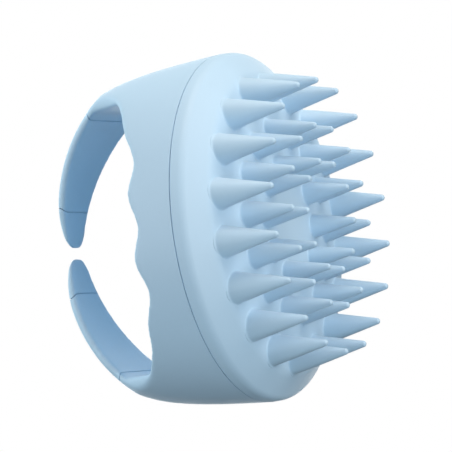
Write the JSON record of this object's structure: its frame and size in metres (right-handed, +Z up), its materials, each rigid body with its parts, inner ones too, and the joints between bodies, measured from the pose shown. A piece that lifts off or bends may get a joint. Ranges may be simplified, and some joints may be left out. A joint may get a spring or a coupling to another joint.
{
  "type": "scalp massager brush",
  "caption": "Round handheld scalp massager with rings of soft cones and a finger channel closed over by two hinged arms.",
  "frame": {"origin": "centre of the head, on the plane that the cone tips stand on", "axes": "+Z up from the cone tips to the arms, X along the two arms with +X the right arm, +Y the direction in which the fingers pass through"},
  "size_m": [0.0884, 0.0884, 0.0745],
  "materials": {
    "shell": "fine matte soft-touch",
    "cones": "matte silicone",
    "arms": "fine matte soft-touch",
    "plate": "moulded",
    "seal": "matte",
    "steel": "satin",
    "nylon": "smooth"
  },
  "bodies": {
    "head": {"back_shell": "shell", "bristle_cap": "shell", "outer_bristles": "cones", "middle_bristles": "cones", "inner_bristles": "cones", "carrier_plate": "plate", "seal_ring": "seal", "plate_screws": "steel", "root_pins": "steel", "root_washers": "nylon"},
    "right_arm": {"right_arm": "arms", "right_tip_pin": "steel", "right_tip_washers": "nylon"},
    "left_arm": {"left_arm": "arms", "left_tip_pin": "steel", "left_tip_washers": "nylon"},
    "right_tip": {"right_arm_tip": "arms"},
    "left_tip": {"left_arm_tip": "arms"}
  },
  "joints": [
    {"name": "right_root_hinge", "type": "hinge", "parent": "head", "child": "right_arm", "pos_m": [0.03212, 0, 0.0603], "axis": [0, 1, 0], "range_deg": [0, 25]},
    {"name": "left_root_hinge", "type": "hinge", "parent": "head", "child": "left_arm", "pos_m": [-0.03212, 0, 0.0603], "axis": [0, -1, 0], "range_deg": [0, 25]},
    {"name": "right_tip_hinge", "type": "hinge", "parent": "right_arm", "child": "right_tip", "pos_m": [0.0094, 0, 0.073], "axis": [0, 1, 0], "range_deg": [-12, 20]},
    {"name": "left_tip_hinge", "type": "hinge", "parent": "left_arm", "child": "left_tip", "pos_m": [-0.0094, 0, 0.073], "axis": [0, -1, 0], "range_deg": [-12, 20]}
  ]
}
